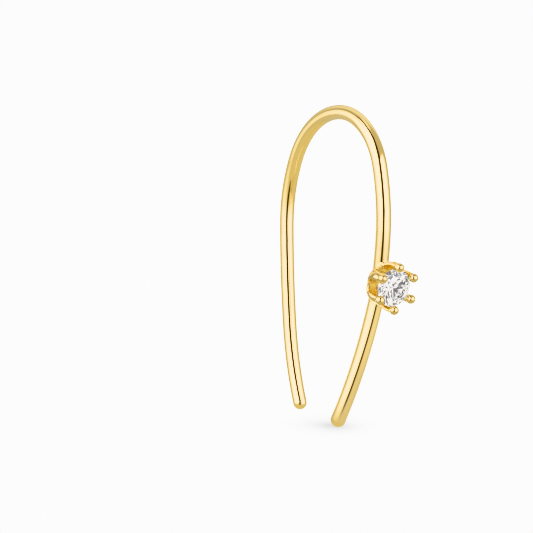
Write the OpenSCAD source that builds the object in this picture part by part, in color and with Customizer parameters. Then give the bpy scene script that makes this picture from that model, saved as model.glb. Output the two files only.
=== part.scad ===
// Hook earring: a round wire bent into a tall open hook, with a round
// brilliant in a six-claw cup soldered on the outside of the front leg.
// The hook lies in the plane X = 0. The stone faces -Y, the back leg is at +Y
// and +Z is up. The origin is the centre of the wire at the crown of the arch.

/* [Wire] */
// Diameter of the round wire at the crown
wire_d = 0.98; // [0.8:0.02:1.1]
// How much the wire thickens or thins from one bend to the next
wire_ease = 0.01; // [0.008:0.001:0.02]

/* [Front leg] */
// Bend radius from the crown over the front shoulder
front_shoulder_r = 4.75; // [4.2:0.05:5.4]
// Bend radius of the upper leg
front_upper_r = 13.4; // [10:0.1:18]
// Bend radius just above the setting
front_middle_r = 25.5; // [20:0.5:32]
// Bend radius just below the setting
front_kick_r = 11.1; // [9:0.1:14]
// Bend radius of the lower leg, down to the tip
front_lower_r = 35.3; // [30:0.1:40]

/* [Back leg] */
// Bend radius from the crown over the back shoulder
back_shoulder_r = 5.65; // [5:0.05:6.4]
// Bend radius of the upper leg
back_upper_r = 9.5; // [7:0.1:12]
// Bend radius of the long nearly straight stretch
back_middle_r = 65; // [55:1:75]
// Bend radius of the lower leg, down to the tip
back_lower_r = 20.3; // [17:0.1:24]

/* [Stone] */
// Diameter of the stone at its girdle
stone_d = 2.5; // [2.2:0.05:2.6]
// Thickness of the girdle
girdle_t = 0.05; // [0.03:0.01:0.08]
// Width of the table across its corners, as a share of the diameter
table_share = 0.57; // [0.5:0.01:0.65]
// Angle of the crown facets
crown_angle = 34.5; // [30:0.5:36]
// Angle of the pavilion facets
pavilion_angle = 40.75; // [38:0.25:41]

/* [Setting] */
// Thickness of a claw, from its inner to its outer face
claw_t = 0.34; // [0.3:0.02:0.42]
// Width of a claw, along the stone's edge
claw_w = 0.56; // [0.44:0.02:0.6]
// Diameter of the ball on a claw's tip
ball_d = 0.62; // [0.54:0.02:0.68]
// Wall of the cup
cup_wall = 0.25; // [0.15:0.01:0.3]
// Gap between the stone's edge and a claw
claw_gap = 0.05; // [0.03:0.01:0.08]
// Gap between the stone's crown and a ball
ball_gap = 0.03; // [0.03:0.01:0.06]
// Gap between the stone's point and the wire behind it
culet_gap = 0.04; // [0.03:0.01:0.1]

/* [Hidden] */
$fn = 48;

// Columns of the tables of bends
RADIUS = 0;
TURN = 1;

// Bends of each leg, from the crown to the tip: radius and turn in degrees
FRONT_BENDS = [
    [front_shoulder_r, 76],
    [front_upper_r, 20],
    [front_middle_r, 6],
    [front_kick_r, 9],
    [front_lower_r, 14]
];
BACK_BENDS = [
    [back_shoulder_r, 62],
    [back_upper_r, 28],
    [back_middle_r, 6],
    [back_lower_r, 15]
];

// The setting sits where this bend of the front leg starts
SETTING_BEND = 3;

// How far the thinner of two bends runs on inside the thicker one
wire_lap = 0.1;
claw_lap = 0.04;

// A claw has a tight bend at its root and a long one beside the stone.
// It is thicker at the root, and leans in over the stone at its tip.
claw_count = 6;
claw_taper = 0.02;
claw_root_r = 0.38;
claw_root_turn = 56;
claw_arc_r = 1.6;
claw_arc_turn = 52;
claw_close_in = claw_root_turn + claw_arc_turn - 90;

// The claws swell to their belly beside the girdle and close in to their balls
girdle_r = stone_d / 2;
claw_belly_r = girdle_r + claw_gap + claw_t / 2;
ball_ring_r = claw_belly_r - claw_arc_r * (1 - cos(claw_close_in));

// Heights are taken from the wire's outer face, along the stone's axis.
// The stone's point stands clear of the wire, and the balls clear its crown.
girdle_h = culet_gap + girdle_r * tan(pavilion_angle) + girdle_t / 2;
ball_rise = (ball_d / 2 + ball_gap - (ball_ring_r - girdle_r) * sin(crown_angle)) / cos(crown_angle);
ball_h = girdle_h + girdle_t / 2 + ball_rise;
claw_belly_h = ball_h - claw_arc_r * sin(claw_close_in);
claw_root_h = claw_belly_h - claw_arc_r * cos(claw_root_turn) - claw_root_r * (1 - cos(claw_root_turn));

// The cup's floor covers the claws' roots from below
cup_skin = 0.02;
cup_bend_r = 0.75;
cup_depth = 0.42;
cup_floor_h = claw_root_h - (claw_t + claw_taper) / 2 - cup_skin;

// Cut of the brilliant: the stars' share of the crown's width, and the
// lower halves' share of the way from the girdle to the point
MAINS = 8;
star_share = 0.5;
lower_half_share = 0.77;
step = 360 / MAINS;
half_cos = cos(step / 2);
table_r = table_share * girdle_r;
star_r = table_r * half_cos + star_share * (girdle_r - table_r * half_cos);
lower_r = (1 - lower_half_share) * girdle_r;
crown_top = girdle_t / 2;

// Sum of the turns before bend i
function turned(bends, i) = i == 0 ? 0 : turned(bends, i - 1) + bends[i - 1][TURN];

// Direction from the centre of a bend to the wire, after turning by a
function outward(a) = [-sin(a), cos(a)];

// Point where bend i starts, in the hook's plane, with the crown at [0, 0]
function bend_start(bends, i) =
    i == 0 ? [0, 0]
    : bend_start(bends, i - 1)
        + bends[i - 1][RADIUS] * (outward(turned(bends, i)) - outward(turned(bends, i - 1)));

// Points on a circle of the stone, one for each main facet
function ring(r, z, shift) = [
    for (i = [0:MAINS - 1]) [r * cos((i + shift) * step), r * sin((i + shift) * step), z]
];

// Height of the crown's main facets at radius r, half a step from their middle
function crown_z(r) = crown_top + (girdle_r - r * half_cos) * tan(crown_angle);

// Height of the pavilion's main facets at radius r, half a step from their middle
function pavilion_z(r) = -crown_top - (girdle_r - r * half_cos) * tan(pavilion_angle);

// One bend: a section swept about the origin from angle a through the turn,
// and on by a lap before and after it
module bend(r, a, turn, before = 0, after = 0) {
    per_mm = 180 / (PI * r);
    rotate([0, 0, a - before * per_mm])
        rotate_extrude(angle = turn + (before + after) * per_mm)
            translate([r, 0])
                children();
}

// Section of a claw, with its width across the bend's plane
module claw_section(spare = 0) {
    scale([1, (claw_w + spare) / (claw_t + spare)])
        circle(d = claw_t + spare);
}

// Lays a shape drawn in the XY plane into the hook's plane
module in_hook_plane() {
    rotate([90, 0, 90])
        children();
}

// One leg of the wire from the crown to its rounded tip, towards -X of its
// plane. Its bends have diameters first_d, first_d + ease and so on.
module leg(bends, first_d, ease) {
    last = len(bends) - 1;
    for (i = [0:last]) {
        a = turned(bends, i);
        r = bends[i][RADIUS];
        before = ease < 0 ? wire_lap : 0;
        after = ease > 0 && i < last ? wire_lap : 0;
        translate(bend_start(bends, i) - r * outward(a))
            bend(r, 90 + a, bends[i][TURN], before, after)
                circle(d = first_d + i * ease);
    }
    translate(bend_start(bends, last + 1))
        sphere(d = first_d + last * ease - wire_ease);
}

// The wire thickens down the front leg and thins down the back leg
module wire() {
    in_hook_plane() {
        leg(FRONT_BENDS, wire_d, wire_ease);
        mirror([1, 0, 0])
            leg(BACK_BENDS, wire_d - wire_ease, -wire_ease);
    }
}

// Puts a shape drawn round the Z axis on the front leg's outer face
module on_front_leg() {
    tilt = turned(FRONT_BENDS, SETTING_BEND) - 90;
    seat = bend_start(FRONT_BENDS, SETTING_BEND);
    translate([0, seat.x, seat.y])
        rotate([90 + tilt, 0, 0])
            translate([0, 0, (wire_d + SETTING_BEND * wire_ease) / 2])
                children();
}

// Half of a bowl's side view: a flat floor whose edge turns up with radius r
module bowl_outline(r) {
    centre_r = claw_belly_r - cup_bend_r;
    centre_h = cup_floor_h + cup_bend_r;
    intersection() {
        union() {
            translate([centre_r, centre_h])
                circle(r = r);
            translate([0, centre_h - r])
                square([centre_r, 2 * r]);
        }
        translate([0, cup_floor_h])
            square([claw_belly_r, cup_depth]);
    }
}

// Shallow cup that joins the claws to the wire
module cup() {
    rotate_extrude()
        difference() {
            bowl_outline(cup_bend_r);
            bowl_outline(cup_bend_r - cup_wall);
        }
}

// One claw, out of the cup's floor and over the stone's edge, with its ball
module claw() {
    arc_centre = [claw_belly_r - claw_arc_r, claw_belly_h];
    root_centre = arc_centre + (claw_arc_r - claw_root_r) * [sin(claw_root_turn), -cos(claw_root_turn)];
    rotate([90, 0, 0]) {
        translate(root_centre)
            bend(claw_root_r, -90, claw_root_turn)
                claw_section(claw_taper);
        translate(arc_centre)
            bend(claw_arc_r, claw_root_turn - 90, claw_arc_turn, claw_lap)
                claw_section();
    }
    translate([ball_ring_r, 0, ball_h])
        sphere(d = ball_d);
}

module setting() {
    cup();
    for (i = [0:claw_count - 1])
        rotate([0, 0, 90 + i * 360 / claw_count])
            claw();
}

module ear_hook() {
    color("gold") {
        wire();
        on_front_leg()
            setting();
    }
}

// Round brilliant: table, stars, kites and halves above the girdle, and mains
// and halves below it. Its girdle's middle is at z = 0 and its table faces up.
module brilliant() {
    table_points = ring(table_r, crown_top + (girdle_r - table_r) * tan(crown_angle), 0);
    star_points = ring(star_r, crown_z(star_r), 0.5);
    upper_corners = ring(girdle_r, crown_top, 0);
    upper_middles = ring(girdle_r, crown_top, 0.5);
    lower_corners = ring(girdle_r, -crown_top, 0);
    lower_middles = ring(girdle_r, -crown_top, 0.5);
    belly_points = ring(lower_r, pavilion_z(lower_r), 0.5);
    culet_point = [0, 0, -crown_top - girdle_r * tan(pavilion_angle)];

    // Where each ring starts in the list of points
    table = 0;
    star = MAINS;
    upper = 2 * MAINS;
    upper_mid = 3 * MAINS;
    lower = 4 * MAINS;
    lower_mid = 5 * MAINS;
    belly = 6 * MAINS;
    culet = 7 * MAINS;

    polyhedron(
        points = concat(
            table_points, star_points, upper_corners, upper_middles,
            lower_corners, lower_middles, belly_points, [culet_point]
        ),
        faces = concat(
            [[for (i = [MAINS - 1:-1:0]) table + i]],
            [for (i = [0:MAINS - 1]) let (next = (i + 1) % MAINS) each [
                [table + i, table + next, star + i],
                [table + next, star + next, upper + next, star + i],
                [star + i, upper_mid + i, upper + i],
                [star + i, upper + next, upper_mid + i],
                [upper + i, upper_mid + i, lower_mid + i, lower + i],
                [upper_mid + i, upper + next, lower + next, lower_mid + i],
                [lower + i, lower_mid + i, belly + i],
                [lower_mid + i, lower + next, belly + i],
                [lower + next, belly + next, culet, belly + i]
            ]]
        )
    );
}

module stone() {
    color("white")
        on_front_leg()
            translate([0, 0, girdle_h])
                brilliant();
}

ear_hook();
stone();
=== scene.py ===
"""Dresses the hook earring: polished gold, a cut clear stone and a plain pale studio.

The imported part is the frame. Sizes in the classes are in millimetres, as in the
part's source, and become metres when a finished mesh is made.
"""

import logging
import math
from dataclasses import dataclass, field
from enum import Enum
from typing import Any

import bmesh
import bpy
import numpy as np
from mathutils import Matrix, Vector


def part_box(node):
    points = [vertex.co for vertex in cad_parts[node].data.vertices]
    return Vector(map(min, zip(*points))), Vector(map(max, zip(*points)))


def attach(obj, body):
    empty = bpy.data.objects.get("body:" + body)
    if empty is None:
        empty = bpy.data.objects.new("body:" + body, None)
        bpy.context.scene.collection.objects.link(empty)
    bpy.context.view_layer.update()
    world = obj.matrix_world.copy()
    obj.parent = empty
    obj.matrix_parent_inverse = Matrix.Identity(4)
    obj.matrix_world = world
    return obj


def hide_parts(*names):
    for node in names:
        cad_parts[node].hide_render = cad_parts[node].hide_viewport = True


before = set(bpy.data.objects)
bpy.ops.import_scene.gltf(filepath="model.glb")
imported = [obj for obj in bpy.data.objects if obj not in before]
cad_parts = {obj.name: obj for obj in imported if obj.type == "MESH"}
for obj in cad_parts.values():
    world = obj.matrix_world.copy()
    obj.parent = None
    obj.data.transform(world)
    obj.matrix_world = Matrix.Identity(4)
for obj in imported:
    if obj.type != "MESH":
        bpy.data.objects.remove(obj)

METRES = 0.001  # metres in a millimetre
TINY = 1e-9  # keeps a divisor above zero
BALL_FINENESS = 4  # how often a ball's faces are divided
BODY = "root"

# A Mix node keeps its own sockets for each kind of value, and they are found by number
FLOAT_A, FLOAT_B, FLOAT_RESULT = 2, 3, 0
VECTOR_A, VECTOR_B, VECTOR_RESULT = 4, 5, 1
COLOUR_A, COLOUR_B, COLOUR_RESULT = 6, 7, 2

log = logging.getLogger("hook_earring")


def linear(hex_colour: str) -> tuple[float, float, float, float]:
    """Turns an sRGB hex colour into linear red, green, blue and alpha.

    Args:
        hex_colour: the colour as "#RRGGBB".

    Returns:
        Four linear values, the last of them 1.
    """
    values = [int(hex_colour[i:i + 2], 16) / 255 for i in (1, 3, 5)]
    # The numbers are those of the sRGB curve itself
    red, green, blue = (v / 12.92 if v <= 0.04045 else ((v + 0.055) / 1.055) ** 2.4 for v in values)
    return red, green, blue, 1.0


def add_node(tree: bpy.types.NodeTree, kind: str, settings: dict[str, Any] | None = None,
             inputs: dict[Any, Any] | None = None) -> bpy.types.Node:
    """Adds one node to a tree.

    Args:
        tree: the tree that gets the node.
        kind: the node's type.
        settings: the node's own properties, by name.
        inputs: a value, or a socket to link from, for each input by name or number.

    Returns:
        The new node.
    """
    node = tree.nodes.new(kind)
    for name, value in (settings or {}).items():
        setattr(node, name, value)
    for key, value in (inputs or {}).items():
        socket = node.inputs[key]
        if isinstance(value, bpy.types.NodeSocket):
            tree.links.new(value, socket)
        else:
            socket.default_value = value
    return node


def new_material(name: str, glows: bool = False) -> tuple[bpy.types.Material, bpy.types.NodeTree]:
    """Starts a material.

    Args:
        name: the material's name.
        glows: whether it gives its own light, and so starts without a shader.

    Returns:
        The material and its tree.
    """
    material = bpy.data.materials.new(name)
    material.use_nodes = True
    if glows:
        material.node_tree.nodes.clear()
    return material, material.node_tree


def placed(name: str, data: bpy.types.ID) -> bpy.types.Object:
    """Adds an object to the scene.

    Args:
        name: the object's name.
        data: its mesh or its camera.

    Returns:
        The new object.
    """
    thing = bpy.data.objects.new(name, data)
    bpy.context.scene.collection.objects.link(thing)
    return thing


def plain_mesh(host: bpy.types.Object) -> bpy.types.Mesh:
    """Turns an object with its modifiers into a plain mesh, and removes the object.

    Args:
        host: the object.

    Returns:
        The mesh that the modifiers make.
    """
    before = host.data
    graph = bpy.context.evaluated_depsgraph_get()
    mesh = bpy.data.meshes.new_from_object(host.evaluated_get(graph))
    host.modifiers.clear()
    bpy.data.objects.remove(host)
    bpy.data.meshes.remove(before)
    return mesh


def eased(share: np.ndarray | float) -> np.ndarray | float:
    """Eases a share from 0 to 1, so that it starts and stops gently."""
    return share * share * (3 - 2 * share)


# Finishes


@dataclass(frozen=True)
class SettingMasks:
    """Where the setting is, whose gold is painted darker as shade, and its inside, a ring that no polishing
    wheel reaches, whose gold is satin and painted deeper as shade.

    Radii and heights are in the setting's own frame, in millimetres.
    """

    seat: Matrix
    ring_r: float
    ring_h: float
    reach: float
    rim_h: float
    fade: float = 0.1
    # painted shade: where the setting is drawn darker than the wire
    rim_fade: float = 0.3
    setting_shade_r: float = 2.1
    setting_shade_h: float = 0.15
    setting_shade_fade: float = 0.3

    def masks(self, tree: bpy.types.NodeTree) -> tuple[bpy.types.NodeSocket, bpy.types.NodeSocket]:
        """Measures how a point lies in the setting.

        Args:
            tree: the material's tree.

        Returns:
            A mask that is 1 on the setting, and one that is 1 on the faces inside it.
        """
        place = add_node(tree, "ShaderNodeTexCoord")
        local = add_node(tree, "ShaderNodeMapping", {"vector_type": "TEXTURE"}, {
            "Vector": place.outputs["Object"],
            "Location": self.seat.translation * METRES,
            "Rotation": self.seat.to_euler(),
            "Scale": (METRES, METRES, METRES),
        })
        flat = add_node(tree, "ShaderNodeVectorMath", {"operation": "MULTIPLY"}, {
            0: local.outputs["Vector"],
            1: (1, 1, 0),
        })
        radius = add_node(tree, "ShaderNodeVectorMath", {"operation": "LENGTH"}, {
            0: flat.outputs["Vector"],
        })
        height = add_node(tree, "ShaderNodeSeparateXYZ", inputs={"Vector": local.outputs["Vector"]})
        section = add_node(tree, "ShaderNodeCombineXYZ", inputs={
            "X": radius.outputs["Value"],
            "Y": height.outputs["Z"],
        })
        away = add_node(tree, "ShaderNodeVectorMath", {"operation": "DISTANCE"}, {
            0: section.outputs["Vector"],
            1: (self.ring_r, self.ring_h, 0),
        })
        # What is measured, the edge of the mask and the width of its fade, which is
        # negative where the mask ends there and positive where it begins
        edges = (
            (radius.outputs["Value"], self.setting_shade_r, -self.setting_shade_fade),
            (height.outputs["Z"], self.setting_shade_h, self.setting_shade_fade),
            (away.outputs["Value"], self.reach, -self.fade),
            (height.outputs["Z"], self.rim_h, -self.rim_fade),
        )
        within = [
            add_node(tree, "ShaderNodeMapRange", {"interpolation_type": "SMOOTHSTEP"}, {
                "Value": value,
                "From Min": edge - fade / 2,
                "From Max": edge + fade / 2,
            }).outputs["Result"]
            for value, edge, fade in edges
        ]
        # the first mask lays the setting's painted shade, the second the satin and the painted shade inside
        setting_shade, hollow = (
            add_node(tree, "ShaderNodeMath", {"operation": "MULTIPLY"}, {0: first, 1: second}).outputs[0]
            for first, second in (within[:2], within[2:])
        )
        return setting_shade, hollow


@dataclass(frozen=True)
class PolishedGold:
    """Yellow gold, 14 carat: drawn wire and a setting made in a mould, soldered and polished to a mirror,
    with painted shade on the setting.
    """

    setting: SettingMasks
    name: str = "polished yellow gold"
    colour: str = "#FFE29A"
    # painted shade: the setting is drawn about a fifth darker than the wire
    setting_shade_colour: str = "#E3CA8A"
    # painted shade: the inside of the setting is drawn deeper, for the light that bounces between its faces
    hollow_shade_colour: str = "#F0CC70"
    roughness: float = 0.055
    roughness_spread: float = 0.03
    hollow_roughness: float = 0.35
    polish_mm: float = 0.12
    polish_detail: float = 2.0
    polish_low: float = 0.3
    polish_high: float = 0.7
    wave_mm: float = 1.4
    wave_detail: float = 1.0
    wave_strength: float = 0.02

    def material(self) -> bpy.types.Material:
        """Makes the gold: a mirror whose sharpness wanders a little, as a polishing wheel leaves it.

        Returns:
            The material.
        """
        material, tree = new_material(self.name)
        shader = tree.nodes["Principled BSDF"]
        shader.inputs["Metallic"].default_value = 1.0
        place = add_node(tree, "ShaderNodeTexCoord")
        # The setting is painted about a fifth darker than the wire, as shade, because it
        # mirrors more of the lights here than the real one does. Inside, the gold is satin,
        # and its deeper colour is painted shade for the light bouncing between its faces
        setting_shade, hollow = self.setting.masks(tree)
        outside = add_node(tree, "ShaderNodeMix", {"data_type": "RGBA"}, {
            0: setting_shade,
            COLOUR_A: linear(self.colour),
            COLOUR_B: linear(self.setting_shade_colour),
        })
        # the inside of the setting gets its painted deeper shade
        colour = add_node(tree, "ShaderNodeMix", {"data_type": "RGBA"}, {
            0: hollow,
            COLOUR_A: outside.outputs[COLOUR_RESULT],
            COLOUR_B: linear(self.hollow_shade_colour),
        })
        tree.links.new(colour.outputs[COLOUR_RESULT], shader.inputs["Base Color"])
        # Wheel marks: a grain of a tenth of a millimetre that only changes the gloss
        marks = add_node(tree, "ShaderNodeTexNoise", inputs={
            "Vector": place.outputs["Object"],
            "Scale": 1 / (self.polish_mm * METRES),
            "Detail": self.polish_detail,
        })
        gloss = add_node(tree, "ShaderNodeMapRange", inputs={
            "Value": marks.outputs["Fac"],
            "From Min": self.polish_low,
            "From Max": self.polish_high,
            "To Min": self.roughness,
            "To Max": self.roughness + self.roughness_spread,
        })
        rough = add_node(tree, "ShaderNodeMix", {"data_type": "FLOAT"}, {
            0: hollow,
            FLOAT_A: gloss.outputs["Result"],
            FLOAT_B: self.hollow_roughness,
        })
        tree.links.new(rough.outputs[FLOAT_RESULT], shader.inputs["Roughness"])
        # Hand polishing leaves the round wire very slightly uneven along its length
        waves = add_node(tree, "ShaderNodeTexNoise", inputs={
            "Vector": place.outputs["Object"],
            "Scale": 1 / (self.wave_mm * METRES),
            "Detail": self.wave_detail,
        })
        uneven = add_node(tree, "ShaderNodeBump", inputs={
            "Height": waves.outputs["Fac"],
            "Strength": self.wave_strength,
            "Distance": self.wave_mm * METRES,
        })
        tree.links.new(uneven.outputs["Normal"], shader.inputs["Normal"])
        return material


@dataclass(frozen=True)
class CutStone:
    """Clear diamond, sawn, cut and polished to flat facets."""

    name: str = "cut diamond"
    colour: str = "#FFFFFF"
    glint: str = "#9A9A9E"
    ior: float = 2.42
    grain_mm: float = 0.05
    grain_low: float = 0.5
    grain_high: float = 0.8
    grain_roughness: float = 0.012

    def material(self) -> bpy.types.Material:
        """Makes the stone: clear, strongly bending, with facets that are a touch softer in places.

        Returns:
            The material.
        """
        material, tree = new_material(self.name)
        shader = tree.nodes["Principled BSDF"]
        shader.inputs["Base Color"].default_value = linear(self.colour)
        shader.inputs["Transmission Weight"].default_value = 1.0
        shader.inputs["IOR"].default_value = self.ior
        # The mirror on the outer faces is held back, so that the cut shows under it
        shader.inputs["Specular Tint"].default_value = linear(self.glint)
        place = add_node(tree, "ShaderNodeTexCoord")
        # Polishing grain of the facets, drawn as coarse as it needs to show
        grain = add_node(tree, "ShaderNodeTexNoise", inputs={
            "Vector": place.outputs["Object"],
            "Scale": 1 / (self.grain_mm * METRES),
        })
        soft = add_node(tree, "ShaderNodeMapRange", inputs={
            "Value": grain.outputs["Fac"],
            "From Min": self.grain_low,
            "From Max": self.grain_high,
            "To Min": 0.0,
            "To Max": self.grain_roughness,
        })
        tree.links.new(soft.outputs["Result"], shader.inputs["Roughness"])
        return material


@dataclass(frozen=True)
class Shade:
    """A soft grey shade painted on the table: its middle, half sizes and depth.

    Sizes are in millimetres, across the camera's view and along it.
    """

    across: float
    along: float
    half_across: float
    half_along: float
    depth: float


@dataclass(frozen=True)
class LightTable:
    """Opal glass, lit evenly from below, with the hook's faint shade painted on it."""

    name: str = "lit opal glass"
    shades: tuple[Shade, ...] = (
        Shade(across=-0.6, along=1.7, half_across=4.4, half_along=9.3, depth=0.66),
        Shade(across=0.3, along=-0.7, half_across=2.4, half_along=6.5, depth=0.3),
    )

    def material(self, radiance: float, turn: float) -> bpy.types.Material:
        """Makes the glass.

        Args:
            radiance: how bright the glass is.
            turn: the azimuth in radians along which the shades are laid out. They
                keep their place on the table when the camera moves.

        Returns:
            The material.
        """
        material, tree = new_material(self.name, glows=True)
        place = add_node(tree, "ShaderNodeTexCoord")
        light = radiance
        # each painted shade darkens the glass's glow, where the hook's shadow would fall
        for shade in self.shades:
            middle = Vector((shade.across, shade.along, 0)) * METRES
            middle.rotate(Matrix.Rotation(turn, 3, "Z"))
            laid = add_node(tree, "ShaderNodeMapping", {"vector_type": "TEXTURE"}, {
                "Vector": place.outputs["Object"],
                "Location": middle,
                "Rotation": (0, 0, turn),
                "Scale": (shade.half_across * METRES, shade.half_along * METRES, 1),
            })
            reach = add_node(tree, "ShaderNodeVectorMath", {"operation": "LENGTH"}, {
                0: laid.outputs["Vector"],
            })
            shaded = add_node(tree, "ShaderNodeMapRange", {"interpolation_type": "SMOOTHSTEP"}, {
                "Value": reach.outputs["Value"],
                "To Min": 1 - shade.depth,
                "To Max": 1.0,
            })
            light = add_node(tree, "ShaderNodeMath", {"operation": "MULTIPLY"}, {
                0: light,
                1: shaded.outputs["Result"],
            }).outputs[0]
        glow = add_node(tree, "ShaderNodeEmission", inputs={"Strength": light})
        add_node(tree, "ShaderNodeOutputMaterial", inputs={"Surface": glow.outputs["Emission"]})
        return material


@dataclass(frozen=True)
class LitCard:
    """Card that glows as bright as its mesh says at each point, and thins out where it says."""

    name: str = "lit card"
    attribute: str = "glow"
    cover: str = "cover"
    dark_colour: str = "#FFE3FF"
    lit_colour: str = "#FFFEF6"
    lit_level: float = 0.6

    def material(self) -> bpy.types.Material:
        """Makes the card's material.

        Returns:
            The material.
        """
        material, tree = new_material(self.name, glows=True)
        level = add_node(tree, "ShaderNodeAttribute", {"attribute_name": self.attribute})
        lit = add_node(tree, "ShaderNodeMapRange", inputs={
            "Value": level.outputs["Fac"],
            "From Max": self.lit_level,
        })
        tint = add_node(tree, "ShaderNodeMix", {"data_type": "RGBA"}, {
            0: lit.outputs["Result"],
            COLOUR_A: linear(self.dark_colour),
            COLOUR_B: linear(self.lit_colour),
        })
        glow = add_node(tree, "ShaderNodeEmission", inputs={
            "Color": tint.outputs[COLOUR_RESULT],
            "Strength": level.outputs["Fac"],
        })
        cover = add_node(tree, "ShaderNodeAttribute", {"attribute_name": self.cover})
        clear = add_node(tree, "ShaderNodeBsdfTransparent")
        card = add_node(tree, "ShaderNodeMixShader", inputs={
            0: cover.outputs["Fac"],
            1: clear.outputs["BSDF"],
            2: glow.outputs["Emission"],
        })
        add_node(tree, "ShaderNodeOutputMaterial", inputs={"Surface": card.outputs["Shader"]})
        return material


# Shapes that several pieces share


@dataclass(frozen=True)
class Bend:
    """One arc of a bent wire: its radius in millimetres and how far it turns in degrees."""

    radius: float
    turn: float


@dataclass(frozen=True)
class Arc:
    """A bend laid out in a plane, with angles in radians."""

    centre: tuple[float, float]
    radius: float
    start: float
    turn: float
    length_before: float


class ArcChain:
    """Arcs that follow each other without a corner, in a plane of its own."""

    def __init__(self, bends: tuple[Bend, ...], begin: tuple[float, float],
                 angle: float, sense: int) -> None:
        """Lays out the bends.

        Args:
            bends: the bends in order.
            begin: the point where the chain begins.
            angle: the direction from the first centre to that point, in degrees.
            sense: 1 to turn anticlockwise, -1 to turn clockwise.
        """
        self.arcs: list[Arc] = []
        point = np.array(begin, float)
        start = math.radians(angle)
        length = 0.0
        for bend in bends:
            turn = sense * math.radians(bend.turn)
            centre = point - bend.radius * np.array([math.cos(start), math.sin(start)])
            self.arcs.append(Arc((centre[0], centre[1]), bend.radius, start, turn, length))
            start += turn
            length += bend.radius * abs(turn)
            point = centre + bend.radius * np.array([math.cos(start), math.sin(start)])
        self.length = length
        self.end = point

    def points(self, spacing: float) -> np.ndarray:
        """Gives points along the chain.

        Args:
            spacing: the furthest that two points may be apart.

        Returns:
            One row for each point, in the plane of the chain.
        """
        rows = []
        for arc in self.arcs:
            count = max(2, math.ceil(arc.radius * abs(arc.turn) / spacing))
            angles = arc.start + arc.turn * np.arange(count) / count
            rows.append(np.column_stack([np.cos(angles), np.sin(angles)]) * arc.radius + arc.centre)
        return np.vstack(rows + [self.end[None]])

    def nearest(self, across: np.ndarray, up: np.ndarray) -> tuple[np.ndarray, np.ndarray, np.ndarray]:
        """Finds the nearest point of the chain to each query point.

        Args:
            across: first coordinate of the query points.
            up: second coordinate of the query points.

        Returns:
            How far each point lies outward from the chain, how far past its ends,
            and the length along the chain of the nearest point.
        """
        best = np.full(across.shape, np.inf)
        outward, past, along = (np.zeros(across.shape) for _ in range(3))
        for arc in self.arcs:
            x, y = across - arc.centre[0], up - arc.centre[1]
            middle = arc.start + arc.turn / 2
            off = np.arctan2(y, x) - middle
            off = (off + math.pi) % (2 * math.pi) - math.pi
            off = np.clip(off, -abs(arc.turn) / 2, abs(arc.turn) / 2)
            cos, sin = np.cos(middle + off), np.sin(middle + off)
            out = x * cos + y * sin - arc.radius
            side = y * cos - x * sin
            distance = out ** 2 + side ** 2
            closer = distance < best
            share = off * math.copysign(1, arc.turn) + abs(arc.turn) / 2
            best = np.where(closer, distance, best)
            outward = np.where(closer, out, outward)
            past = np.where(closer, side, past)
            along = np.where(closer, arc.length_before + arc.radius * share, along)
        return outward, past, along


def merged(first: np.ndarray, second: np.ndarray, fillet: float) -> np.ndarray:
    """Joins two distance fields with a fillet, as solder fills a corner."""
    share = np.clip(0.5 + 0.5 * (second - first) / fillet, 0, 1)
    return second * (1 - share) + first * share - fillet * share * (1 - share)


def grown(name: str, points: np.ndarray, tree: bpy.types.GeometryNodeTree,
          values: dict[str, Any]) -> bpy.types.Mesh:
    """Runs a Geometry Nodes tree on a line of points and keeps the result as a plain mesh.

    Args:
        name: the new mesh's name.
        points: the line's points, in order.
        tree: the tree to run.
        values: the tree's inputs, by name.

    Returns:
        The mesh that the tree makes.
    """
    line = bpy.data.meshes.new(name + "_line")
    line.from_pydata([tuple(p) for p in points], [(i, i + 1) for i in range(len(points) - 1)], [])
    host = placed(name + "_host", line)
    modifier = host.modifiers.new(name, "NODES")
    modifier.node_group = tree
    sockets = {item.name: item.identifier
               for item in tree.interface.items_tree if item.item_type == "SOCKET"}
    for key, value in values.items():
        modifier[sockets[key]] = value
    mesh = plain_mesh(host)
    mesh.name = name
    return mesh


def new_tree(name: str, sockets: dict[str, str]) -> tuple[bpy.types.GeometryNodeTree, bpy.types.Node]:
    """Starts a Geometry Nodes tree with named inputs.

    Args:
        name: the tree's name.
        sockets: the kind of each input's socket, by name.

    Returns:
        The tree and its Group Input node.
    """
    tree = bpy.data.node_groups.new(name, "GeometryNodeTree")
    tree.interface.new_socket("Line", in_out="INPUT", socket_type="NodeSocketGeometry")
    for key, kind in sockets.items():
        tree.interface.new_socket(key, in_out="INPUT", socket_type=kind)
    tree.interface.new_socket("Mesh", in_out="OUTPUT", socket_type="NodeSocketGeometry")
    return tree, tree.nodes.new("NodeGroupInput")


def finish_tree(tree: bpy.types.GeometryNodeTree, geometry: bpy.types.NodeSocket,
                material: bpy.types.NodeSocket) -> None:
    """Ends a tree with Realize Instances and Set Material.

    Args:
        tree: the tree.
        geometry: what it has made so far.
        material: the material that it gives to that.
    """
    real = add_node(tree, "GeometryNodeRealizeInstances", inputs={"Geometry": geometry})
    dressed = add_node(tree, "GeometryNodeSetMaterial", inputs={
        "Geometry": real.outputs["Geometry"],
        "Material": material,
    })
    add_node(tree, "NodeGroupOutput", inputs={"Mesh": dressed.outputs["Geometry"]})


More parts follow.
